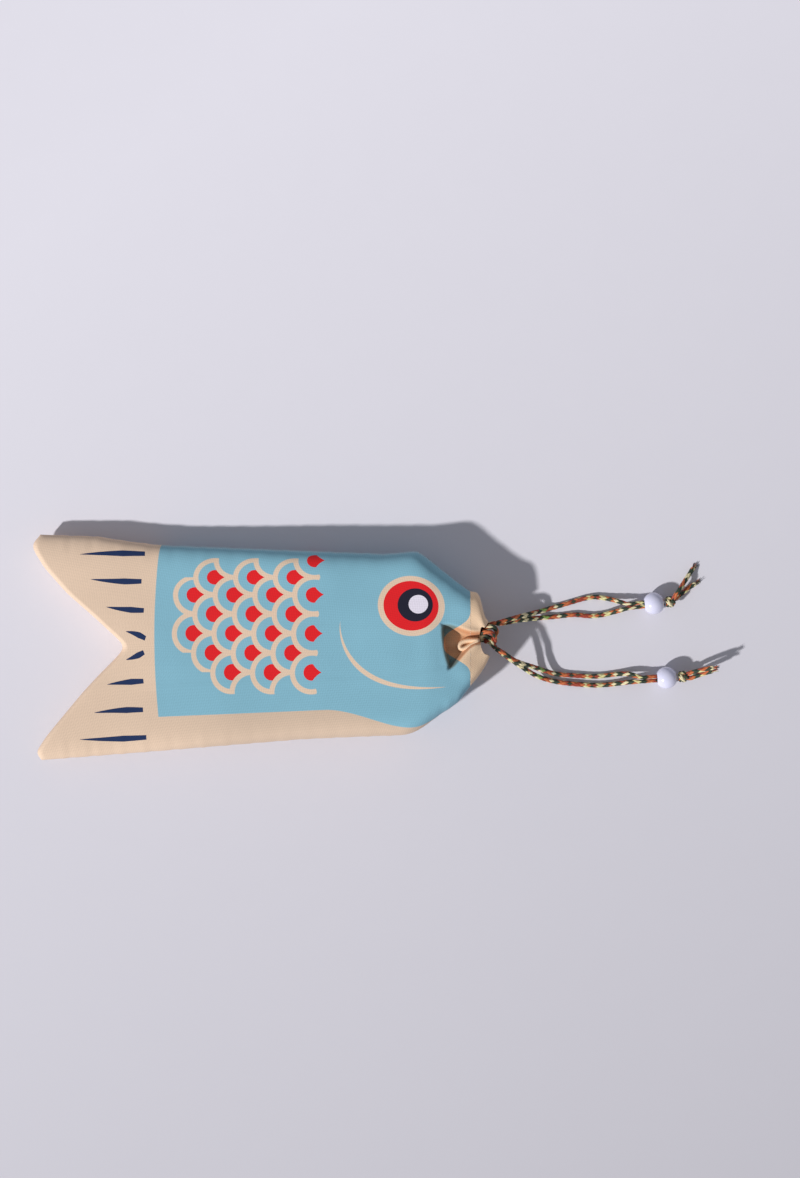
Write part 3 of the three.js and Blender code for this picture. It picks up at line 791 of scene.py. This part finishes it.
@once("node_groups", "Round Braid")
def braid_pattern(name):
    """Group for a round braid of eight coloured carriers, from a UV (share of the girth, length / 10 mm)."""
    tree, into, give = group(
        name,
        [("UV", "NodeSocketVector", None), ("Pitch", "NodeSocketFloat", BRAID_PITCH)],
        [("Color", "NodeSocketColor"), ("Height", "NodeSocketFloat")],
    )
    around, along = plan_of(tree, into["UV"])
    around, along = around * 4.0, along * 10.0 / Sum(tree, into["Pitch"])
    f, g = around + along, around - along
    over = ((f.floor() + g.floor()) * 0.5).rest() > 0.25

    def carriers(shades, offset):
        """Colour of the yarn at a crossing: a random pick that is the same again once round the girth."""
        turn = (f.floor() + g.floor() + 800.0) / 8.0
        seat = tree.nodes.new("ShaderNodeCombineXYZ")
        tree.links.new((f.floor() - g.floor() + offset).socket, seat.inputs[0])
        tree.links.new(((turn.rest() * 8.0 + 0.5).floor() + 0.5).socket, seat.inputs[1])
        pick = tree.nodes.new("ShaderNodeTexWhiteNoise")
        pick.noise_dimensions = "2D"
        tree.links.new(seat.outputs[0], pick.inputs["Vector"])
        ramp = tree.nodes.new("ShaderNodeValToRGB")
        ramp.color_ramp.interpolation = "CONSTANT"
        stops = ramp.color_ramp.elements
        stops.remove(stops[1])
        stops[0].color = (*shades[0][1], 1)
        for at, shade in shades[1:]:
            stops.new(at).color = (*shade, 1)
        tree.links.new(pick.outputs["Value"], ramp.inputs[0])
        return ramp.outputs[0]

    rust, pine, ember = (0.56, 0.12, 0.035), (0.007, 0.020, 0.016), (0.34, 0.030, 0.018)
    straw, leaf, cream = (0.72, 0.66, 0.32), (0.22, 0.36, 0.08), (0.78, 0.68, 0.42)
    dark = carriers(((0.0, pine), (0.70, ember), (0.88, rust)), 0.5)
    bright = carriers(((0.0, rust), (0.30, straw), (0.54, cream), (0.72, ember), (0.90, leaf)), 43.5)
    # Dark and bright crossings take turns along the cord
    deep = ((f.floor() - g.floor()) / 4.0).rest() < 0.4
    height = over * (f * math.pi).sine().size() + (~over) * (g * math.pi).sine().size()
    fuzz = noise(tree, into["UV"], 34.0, 2.0)
    yarn = colour_mix(tree, ((fuzz - 0.52) * 2.4) | 0.0, colour_mix(tree, deep, bright, dark), leaf)
    shaded = colour_mix(tree, 1.0, yarn, grey(tree, height * 0.4 + 0.72), "MULTIPLY")
    return give(Color=shaded, Height=height + fuzz * 0.3)


# ---------------------------------------------------------------- finishes


class Finish:
    """A material's node tree with its Principled shader, and the few joins that every finish here needs."""

    def __init__(self, name):
        self.material = bpy.data.materials.new(name)
        self.material.use_nodes = True
        self.tree = self.material.node_tree
        self.shader = next(n for n in self.tree.nodes if n.type == "BSDF_PRINCIPLED")
        self.place = self.tree.nodes.new("ShaderNodeTexCoord").outputs

    def group(self, tree, **values):
        node = self.tree.nodes.new("ShaderNodeGroup")
        node.node_tree = tree
        for label, value in values.items():
            slot = node.inputs[label]
            if isinstance(value, bpy.types.NodeSocket):
                self.tree.links.new(value, slot)
            else:
                slot.default_value = value if slot.type == "VALUE" else (*value[:3], 1.0)
        return node.outputs

    def tone(self, scale, amount):
        return self.group(uneven_tone(), Position=self.place["Object"], Scale=scale, Amount=amount)

    def weave(self, slub):
        return self.group(plain_weave(), UV=self.place["UV"], Pitch=sizes().weave_pitch, Slub=slub)

    def attribute(self, name):
        node = self.tree.nodes.new("ShaderNodeAttribute")
        node.attribute_name = name
        return node.outputs

    def tinted(self, base, *tones):
        """Base colour times each tone."""
        for tone in tones:
            base = colour_mix(self.tree, 1.0, base, grey(self.tree, tone), "MULTIPLY")
        self.tree.links.new(base, self.shader.inputs["Base Color"])

    def bump(self, height, strength, distance):
        node = self.tree.nodes.new("ShaderNodeBump")
        node.inputs["Strength"].default_value = strength
        node.inputs["Distance"].default_value = distance
        self.tree.links.new(socket_of(height), node.inputs["Height"])
        self.tree.links.new(node.outputs[0], self.shader.inputs["Normal"])

    def roughness(self, value, low, high):
        rough = Sum(self.tree, value) * (high - low) + low
        self.tree.links.new(rough.socket, self.shader.inputs["Roughness"])

    def shine(self, **values):
        """Plain values of the shader's other inputs, with _ for the spaces in their names."""
        for label, value in values.items():
            self.shader.inputs[label.replace("_", " ")].default_value = value


def rgba(name):
    return (*getattr(colours(), name), 1.0)


@once("materials", "Printed Canvas")
def printed_canvas(name):
    """The pouch's cloth: the print over a plain weave, paler along the seams, with painted shade that darkens and
    warms the drawn-in fold.
    """
    f = Finish(name)
    pattern = f.group(ink_print(), Position=f.attribute("print_place")["Vector"], Ground=rgba("water_blue"),
                      Cream=rgba("canvas_cream"), Hem=rgba("hem_cream_with_painted_light"), Red=rgba("scale_red"),
                      Navy=rgba("ray_navy"), Pupil=rgba("pupil_black"), Spot=rgba("eye_white"))
    weave, tone = f.weave(0.5), f.tone(38.0, 0.07)
    # Cloth is mixed a little towards cream along its seams
    seam_paling = ~((Sum(f.tree, f.attribute("seam_share")["Fac"]) * 40.0) & 1.0)
    paled_and_fold_shaded = colour_mix(f.tree, seam_paling * 0.22, pattern["Color"], rgba("canvas_cream"))
    # Painted shade: the drawn-in fold is darkened and warmed, as bounced light would leave it, most of all at its rim
    painted_fold_shade = Sum(f.tree, f.attribute("painted_fold_shade")["Fac"])
    paled_and_fold_shaded = colour_mix(f.tree, painted_fold_shade, paled_and_fold_shaded, (0.76, 0.62, 0.52), "MULTIPLY")
    paled_and_fold_shaded = colour_mix(f.tree, painted_fold_shade * ~painted_fold_shade * 3.2, paled_and_fold_shaded, (0.82, 0.52, 0.36), "MULTIPLY")
    f.tinted(paled_and_fold_shaded, weave["Shade"], tone["Tone"])
    f.roughness(tone["Grain"], 0.78, 0.95)
    f.bump(weave["Height"], 0.35, 0.00012)
    f.shine(**CANVAS_SHINE)
    return f.material


def plain_canvas(name, tone_amount, base):
    f = Finish(name)
    weave, tone = f.weave(0.6), f.tone(60.0, tone_amount)
    f.tinted(rgba(base), weave["Shade"], tone["Tone"])
    f.roughness(tone["Grain"], 0.8, 0.95)
    f.bump(weave["Height"], 0.4, 0.00012)
    f.shine(**CANVAS_SHINE)
    return f.material


@once("materials", "Canvas Reverse")
def canvas_reverse(name):
    """The cloth's unprinted inner face."""
    return plain_canvas(name, 0.12, "canvas_cream")


@once("materials", "Hem Canvas With Painted Light")
def hem_canvas_with_painted_light(name):
    """Unprinted cloth where it is doubled at the mouth, in the hem colour that is paler and warmer as painted light.
    """
    return plain_canvas(name, 0.08, "hem_cream_with_painted_light")


@once("materials", "Sewing Thread")
def sewing_thread(name):
    """Three-ply thread: a bump that winds round it."""
    f = Finish(name)
    tone = f.tone(300.0, 0.15)
    f.tinted(rgba("thread_cream"), tone["Tone"])
    around, along = plan_of(f.tree, f.place["UV"])
    f.bump(((around * 3.0 + along * 16.0) * (2 * math.pi)).sine(), 0.5, 0.00006)
    f.roughness(tone["Grain"], 0.55, 0.8)
    return f.material


@once("materials", "Braided Cord")
def braided_cord(name):
    """Drawcord of coloured yarns with a little fuzz."""
    f = Finish(name)
    braid = f.group(braid_pattern(), UV=f.place["UV"], Pitch=BRAID_PITCH)
    tone = f.tone(120.0, 0.18)
    f.tinted(braid["Color"], tone["Tone"])
    f.roughness(tone["Grain"], 0.55, 0.85)
    f.bump(braid["Height"], 0.6, 0.00018)
    f.shine(Sheen_Weight=0.1)
    return f.material


@once("materials", "Bead Gloss")
def bead_gloss(name):
    """Glossy moulded bead, very slightly clouded."""
    f = Finish(name)
    tone = f.tone(170.0, 0.05)
    mist = ((noise(f.tree, f.place["Object"], 420.0, 4.0) - 0.45) * 3.0).share()
    f.tinted(colour_mix(f.tree, mist, rgba("bead_white"), (0.66, 0.67, 0.88)), tone["Tone"])
    f.roughness(tone["Grain"], 0.10, 0.26)
    f.shine(IOR=1.5, Coat_Weight=0.35, Coat_Roughness=0.05)
    f.bump(tone["Grain"], 0.06, 0.0001)
    return f.material


@once("materials", "Floor")
def floor_matt(name):
    """Matt paper with a painted light falloff: it greys slowly towards the near right, and is even again far from the
    pouch.
    """
    f = Finish(name)
    tone = f.tone(3.0, 0.012)
    x, y = plan_of(f.tree, f.place["Object"])
    # Painted light falloff: darker towards the near right, back to even far from the pouch
    painted_falloff = y * 0.42 - x * 0.33 + 0.885
    far = (((x * x + y * y).root() - 0.36) * 2.2).share()
    near = ((painted_falloff & 1.0) | 0.68) * ~far + far
    f.tinted(rgba("floor_pale"), tone["Tone"], near)
    f.roughness(tone["Grain"], 0.7, 0.85)
    f.shine(Specular_IOR_Level=0.2)
    return f.material


# ---------------------------------------------------------------- pieces


def bead_frame(name):
    """Middle of a bead, and the unit vectors along and across its bore."""
    radius = sizes().bead_diameter / MM / 2
    turn = math.radians(BEAD_TURN[name])
    middle = np.array([EXIT_X + BEAD_AT[name][0], EXIT_Y[name] + BEAD_AT[name][1], radius])
    return middle, np.array([math.cos(turn), math.sin(turn), 0]), np.array([-math.sin(turn), math.cos(turn), 0])


def knot_middle(name):
    middle, forward, _ = bead_frame(name)
    return middle + forward * (sizes().bead_diameter / MM / 2 + GAP + KNOT_D / 2)


def strand_points(name, letter):
    """Points of a strand: its exit, its route, and four points held side by side where the bead runs."""
    side = STRAND_SIDE[letter]
    middle, forward, sideways = bead_frame(name)
    radius = sizes().bead_diameter / MM / 2
    held = [middle + forward * d + sideways * side * BORE_HALF
            for d in (-radius - BEAD_TRAVEL - GAP, -radius - BEAD_TRAVEL / 2, 0.0, radius)]
    route = [(EXIT_X + a, EXIT_Y[name] + b, z) for a, b, z in ROUTES[f"{name}_{letter}"]]
    return [(EXIT_X, EXIT_Y[name], MOUTH_Z + side * PAIR_HALF), *route, *held]


class STREAMER_OT_stage(bpy.types.Operator):
    """Camera straight above, plain pale floor, low key light from the near left and an even surround"""

    bl_idname = "streamer.stage"
    bl_label = "Stage"

    def execute(self, context):
        scene = context.scene
        data = bpy.data.cameras.new("above")
        data.lens = 70
        data.sensor_width = 36
        data.sensor_fit = "AUTO"
        data.clip_start = 0.01
        camera = bpy.data.objects.new("above", data)
        camera.location = (0.0634, 0.0265, 1.053)
        scene.collection.objects.link(camera)
        scene.camera = camera

        n = 41
        across = np.linspace(-FLOOR_HALF, FLOOR_HALF, n)
        gx, gy = np.meshgrid(across, across, indexing="ij")
        floor = make_piece("floor", np.stack([gx, gy, gx * 0 - 0.05], axis=-1).reshape(-1, 3), grid_faces(n, n)[0],
                           materials=(floor_matt(),))

        key = bpy.data.lights.new("key", "SUN")
        key.energy = 3.30
        key.angle = math.radians(3.0)
        key.color = (1.0, 0.985, 0.97)
        lamp = bpy.data.objects.new("key", key)
        tilt, turn = math.atan(1.32), math.radians(33.5)
        toward = Vector((math.sin(tilt) * math.cos(turn), math.sin(tilt) * math.sin(turn), -math.cos(tilt)))
        lamp.rotation_euler = toward.to_track_quat("-Z", "Y").to_euler()
        scene.collection.objects.link(lamp)

        world = bpy.data.worlds.new("surround")
        world.use_nodes = True
        wires = world.node_tree
        back = next(n for n in wires.nodes if n.type == "BACKGROUND")
        back.inputs["Color"].default_value = (0.90, 0.92, 1.0, 1)
        back.inputs["Strength"].default_value = 0.30
        # Seen directly, the surround is as pale as the floor
        seen, path, mix = (wires.nodes.new(f"ShaderNode{k}") for k in ("Background", "LightPath", "MixShader"))
        seen.inputs["Color"].default_value = (0.74, 0.74, 0.80, 1)
        exit_node = next(n for n in wires.nodes if n.type == "OUTPUT_WORLD")
        for source, slot in ((path.outputs["Is Camera Ray"], mix.inputs[0]), (back.outputs[0], mix.inputs[1]),
                             (seen.outputs[0], mix.inputs[2]), (mix.outputs[0], exit_node.inputs[0])):
            wires.links.new(source, slot)
        scene.world = world
        scene.view_settings.view_transform = "Standard"
        scene.view_settings.look = "None"
        return {"FINISHED"}


class STREAMER_OT_cords(bpy.types.Operator):
    """Four strands of the two doubled drawcords, each a braided tube along its route"""

    bl_idname = "streamer.cords"
    bl_label = "Drawcord Strands"

    def execute(self, context):
        radius = sizes().cord_diameter / MM / 2
        for name in ("upper", "lower"):
            for letter in ("a", "b"):
                line = smooth_line(strand_points(name, letter), LINE_STEP)
                s = length_along(line)
                # Fuller than its size for its fuzz, and thinner over the whole of the bead's travel
                held = s[-1] - sizes().bead_diameter / MM - BEAD_TRAVEL
                inside = ease(held - 4.5, held - 0.5, s)
                verts, faces, uv = tube(line, radius * 1.12, CORD_SIDES, BRAID_RELIEF, taper=1 - 0.18 * inside)
                piece = make_piece(f"{name}_cord_{letter}", verts, faces, corner_uv=uv, materials=(braided_cord(),))
                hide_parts(f"{name}_strand_{letter}")
                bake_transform(piece)
        return {"FINISHED"}


class STREAMER_OT_knots(bpy.types.Operator):
    """Overhand knot behind each bead, and the two frayed tails that leave it"""

    bl_idname = "streamer.knots"
    bl_label = "Knots and Tails"

    def execute(self, context):
        radius = sizes().cord_diameter / MM / 2
        # Trefoil: (2 + cos 3t) round the cord's line and sin 3t along it
        t = np.linspace(0, 2 * np.pi, 200, endpoint=False)
        for name in ("upper", "lower"):
            middle = knot_middle(name)
            _, forward, sideways = bead_frame(name)
            parts = []
            for turn, size in ((0.0, 0.66), (1.05, 0.60)):
                ring, angle = (2 + np.cos(3 * t)) * size, 2 * t + turn
                along = np.sin(3 * t) + turn * 0.7 - 0.35
                line = (middle + along[:, None] * forward + (ring * np.cos(angle))[:, None] * sideways
                        + (ring * np.sin(angle))[:, None] * UP)
                parts.append(tube(line, radius * 0.95, 16, BRAID_RELIEF, reference=unit(line - middle)))
            verts, faces, uv = join(parts)
            knot = make_piece(f"{name}_overhand_knot", verts, faces, corner_uv=uv, materials=(braided_cord(),))
            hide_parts(f"{name}_knot")
            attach(knot, f"{name}_cord")
            for number, letter in enumerate("ab"):
                points = [middle + forward * 0.6] + [middle + np.array(p) for p in TAILS[f"{name}_{letter}"]]
                points = [(p[0], p[1], max(p[2], radius + CORD_LOW)) for p in points]
                line = smooth_line(points, LINE_STEP)
                parts = [tube(line, radius * 1.08, CORD_SIDES, BRAID_RELIEF)]
                parts += fibres(line, radius, 18, seed=11 + number + 2 * (name == "upper"))
                verts, faces, uv = join(parts)
                tail = make_piece(f"{name}_frayed_tail_{letter}", verts, faces, corner_uv=uv,
                                  materials=(braided_cord(),))
                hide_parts(f"{name}_tail_{letter}")
                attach(tail, f"{name}_cord")
        return {"FINISHED"}


def fibres(line, radius, count, seed):
    """Loose fibres of a cut end: short thin tubes that start inside the last millimetre and open like a brush."""
    rng = np.random.default_rng(seed)
    tip, heading = line[-1], unit(line[-1] - line[-6])
    side = unit(np.cross(UP, heading))
    up = np.cross(heading, side)
    s = np.linspace(0, 1, 7)[:, None]
    made = []
    for k in range(count):
        angle, out = rng.uniform(0, 6.28), rng.uniform(0.1, 1.0)
        aside = (np.cos(angle) * side + np.sin(angle) * up) * out
        reach = rng.uniform(1.0, 2.6)
        path = tip - heading * 0.9 + aside * radius * 0.7 + s * heading * (0.9 + reach) + aside * (s**2) * 0.9
        path[:, 2] = np.maximum(path[:, 2], CORD_LOW)
        verts, faces, uv = tube(path, 0.13, 6)
        # One place of the braid's pattern for the whole fibre, so it has one colour
        made.append((verts, faces, uv * 0 + np.array([(k % 8) / 8 + 0.06, 0.05 * k])))
    return made


class STREAMER_OT_beads(bpy.types.Operator):
    """Round bead with a softened bore on each drawcord"""

    bl_idname = "streamer.beads"
    bl_label = "Beads"

    def execute(self, context):
        radius, bore = sizes().bead_diameter / MM / 2, sizes().bead_bore / MM / 2
        # Profile: an arc of the sphere, a lip that rolls into the bore, and the bore's straight wall
        lip_size = 0.35
        mouth = math.asin((bore + lip_size) / radius)
        arc = np.linspace(math.pi - mouth, mouth, 56)
        outside = np.stack([radius * np.sin(arc), radius * np.cos(arc)], axis=1)
        edge = radius * math.cos(mouth)
        roll = np.linspace(0, np.pi / 2, 6)[1:]
        lip = np.stack([bore + lip_size * (1 - np.sin(roll)), edge - lip_size + lip_size * np.cos(roll)], axis=1)
        wall = np.stack([np.full(5, bore), np.linspace(edge - 0.5, 0.5 - edge, 5)], axis=1)
        profile = np.vstack([outside, lip, wall, lip[::-1] * [1, -1]])
        sides = 72
        a = 2 * np.pi * np.arange(sides) / sides
        faces = grid_faces(len(profile), sides, True, True)[0][:, [0, 3, 2, 1]]
        for name in ("upper", "lower"):
            middle, forward, sideways = bead_frame(name)
            spokes = np.cos(a)[None, :, None] * sideways + np.sin(a)[None, :, None] * UP
            verts = middle + profile[:, None, 1:] * forward + profile[:, None, :1] * spokes
            bead = make_piece(f"{name}_round_bead", verts.reshape(-1, 3), faces, materials=(bead_gloss(),))
            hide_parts(f"{name}_bead")
            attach(bead, f"{name}_bead")
        return {"FINISHED"}


class STREAMER_OT_wraps(bpy.types.Operator):
    """Turns of both drawcords where they leave the gathered mouth and cross each other"""

    bl_idname = "streamer.wraps"
    bl_label = "Cord Crossing"

    def execute(self, context):
        radius = sizes().cord_diameter / MM / 2
        # Each turn starts at another place of the braid's pattern
        parts = [tube(smooth_line(points, LINE_STEP), radius * 1.1, CORD_SIDES, BRAID_RELIEF, start=7.0 * number)
                 for number, points in enumerate(WRAPS.values())]
        verts, faces, uv = join(parts)
        wraps = make_piece("cord_crossing", verts, faces, corner_uv=uv, materials=(braided_cord(),))
        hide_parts("upper_cord_loop", "lower_cord_loop")
        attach(wraps, "pouch")
        return {"FINISHED"}


class STREAMER_OT_cloth(bpy.types.Operator):
    """Front and back of the pouch, from the tail to the casing's sewn line"""

    bl_idname = "streamer.cloth"
    bl_label = "Printed Cloth"

    def execute(self, context):
        for half, side in HALVES:
            piece = cloth_half(f"{half}_cloth", side, panel_rows(), sizes().cloth_thickness / MM)
            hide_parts(f"{half}_panel")
            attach(piece, "pouch")
        return {"FINISHED"}


class STREAMER_OT_casing(bpy.types.Operator):
    """Folded casing of the mouth, drawn up into two flaps"""

    bl_idname = "streamer.casing"
    bl_label = "Gathered Casing"

    def execute(self, context):
        doubled = 2 * sizes().cloth_thickness / MM
        for half, side in HALVES:
            piece = cloth_half(f"{half}_gathered_casing", side, np.linspace(1, 2, 44), doubled)
            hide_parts(f"{half}_casing")
            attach(piece, "pouch")
        return {"FINISHED"}


class STREAMER_OT_pleat(bpy.types.Operator):
    """Small pleat that stands up in the valley of the gathered mouth"""

    bl_idname = "streamer.pleat"
    bl_label = "Standing Pleat"

    def execute(self, context):
        # Teardrop in plan with its point at the gather, and an upright oval section carried round it
        n, m = 120, 22
        t = np.linspace(0, 2 * np.pi, n, endpoint=False)
        q = 2 * np.pi * np.arange(m) / m
        along, across = 4.0 * np.cos(t), 2.3 * np.sin(t) * (0.62 - 0.38 * np.cos(t))
        line = np.stack([94.3 + along, 1.9 + across + 0.32 * along, 19.6 + 0.5 * np.cos(t + 0.6)], axis=1)
        tangent = unit(np.roll(line, -1, axis=0) - np.roll(line, 1, axis=0))
        outward = unit(np.cross(tangent, UP))
        half_thick, half_high = 1.15, 2.4
        verts = (line[:, None] + half_thick * np.cos(q)[None, :, None] * outward[:, None]
                 + half_high * np.sin(q)[None, :, None] * UP)
        faces, i, j = grid_faces(n, m, True, True)
        s = length_along(np.vstack([line, line[:1]]))
        low, high = q[j] * 1.6, (q[j] + q[1]) * 1.6
        uv = np.stack([s[i], low, s[i + 1], low, s[i + 1], high, s[i], high], axis=-1).reshape(-1, 2) * MM
        pleat = make_piece("standing_pleat", verts.reshape(-1, 3), faces, corner_uv=uv, materials=(hem_canvas_with_painted_light(),))
        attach(pleat, "pouch")
        return {"FINISHED"}


def stitches(line, pitch, radius, lift=0.0):
    """Row of separate stitches along a line: each is a short tube that lifts in its middle by lift."""
    s = length_along(line)
    made = []
    for start in np.arange(0, s[-1] - pitch, pitch):
        at = start + np.linspace(0.1, 0.78, 7) * pitch
        path = np.stack([np.interp(at, s, line[:, k]) for k in range(3)], axis=1)
        path[:, 2] += lift * np.sin(np.linspace(0, np.pi, 7))
        made.append(tube(path, radius, 6))
    return join(made)


class STREAMER_OT_threads(bpy.types.Operator):
    """Stitches of the casing's sewn line, the side seams and the tail seam"""

    bl_idname = "streamer.threads"
    bl_label = "Stitching"

    def execute(self, context):
        rows = {}
        v = np.linspace(-0.985, 0.985, 400)
        for half, side in HALVES:
            line = cloth_point(np.full(400, 1.0), v, side)
            # Sunk into the cloth, so the middle of a stitch just shows
            line[:, 2] -= side * 0.11
            rows[f"{half}_casing_stitches"] = (line, 0.03 * side)
        u = np.linspace(0.02, 0.999, 900)
        for half, side in (("upper", 1), ("lower", -1)):
            line = cloth_point(u, np.full(900, float(side)), 1)
            line[:, 2] = seam_height(line[:, 0])
            line[:, 1] -= side * 0.25
            rows[f"{half}_side_stitches"] = (line, 0.0)
        line = cloth_point(np.zeros(900), np.linspace(-0.99, 0.99, 900), 1)
        line[:, 2] = seam_height(line[:, 0])
        line[:, 0] += 0.3
        rows["tail_stitches"] = (line, 0.0)
        for node, (line, lift) in rows.items():
            verts, faces, uv = stitches(line, sizes().stitch_length / MM, sizes().thread_diameter / MM / 2, lift)
            thread = make_piece(node.replace("stitches", "thread"), verts, faces, corner_uv=uv,
                                materials=(sewing_thread(),))
            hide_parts(node)
            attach(thread, "pouch")
        return {"FINISHED"}


class STREAMER_OT_declare(bpy.types.Operator):
    """Work out each strand's line and the pieces that ride on it; nothing is done with them"""

    bl_idname = "streamer.declare"
    bl_label = "Declare Soft Pieces"

    def execute(self, context):
        get = bpy.data.objects
        for name in ("upper", "lower"):
            for letter in ("a", "b"):
                line = smooth_line(strand_points(name, letter), 0.9)
                riders = [get[f"{name}_frayed_tail_{letter}"]]
                if letter == "a":
                    riders += [get[f"{name}_round_bead"], get[f"{name}_overhand_knot"]]
        return {"FINISHED"}


class STREAMER_PT_panel(bpy.types.Panel):
    """Lists the pieces of the pouch and its settings"""

    bl_label = "Carp Streamer Pouch"
    bl_idname = "STREAMER_PT_panel"
    bl_space_type = "VIEW_3D"
    bl_region_type = "UI"
    bl_category = "Streamer"

    def draw(self, context):
        for settings in (sizes(), colours()):
            box = self.layout.box()
            for key in settings.__annotations__:
                box.prop(settings, key)
        for operator in OPERATORS:
            self.layout.operator(operator.bl_idname)


OPERATORS = (STREAMER_OT_stage, STREAMER_OT_cords, STREAMER_OT_knots, STREAMER_OT_beads, STREAMER_OT_wraps,
             STREAMER_OT_cloth, STREAMER_OT_casing, STREAMER_OT_pleat, STREAMER_OT_threads, STREAMER_OT_declare)
CLASSES = (StreamerSizes, StreamerColours, *OPERATORS, STREAMER_PT_panel)


def register():
    for cls in CLASSES:
        bpy.utils.register_class(cls)
    bpy.types.Scene.streamer_sizes = PointerProperty(type=StreamerSizes)
    bpy.types.Scene.streamer_colours = PointerProperty(type=StreamerColours)


def unregister():
    del bpy.types.Scene.streamer_colours
    del bpy.types.Scene.streamer_sizes
    for cls in reversed(CLASSES):
        bpy.utils.unregister_class(cls)


def main():
    register()
    for operator in OPERATORS:
        section, name = operator.bl_idname.split(".")
        if "FINISHED" not in getattr(getattr(bpy.ops, section), name)():
            raise RuntimeError(f"{operator.bl_label} did not finish")


if __name__ == "__main__":
    main()
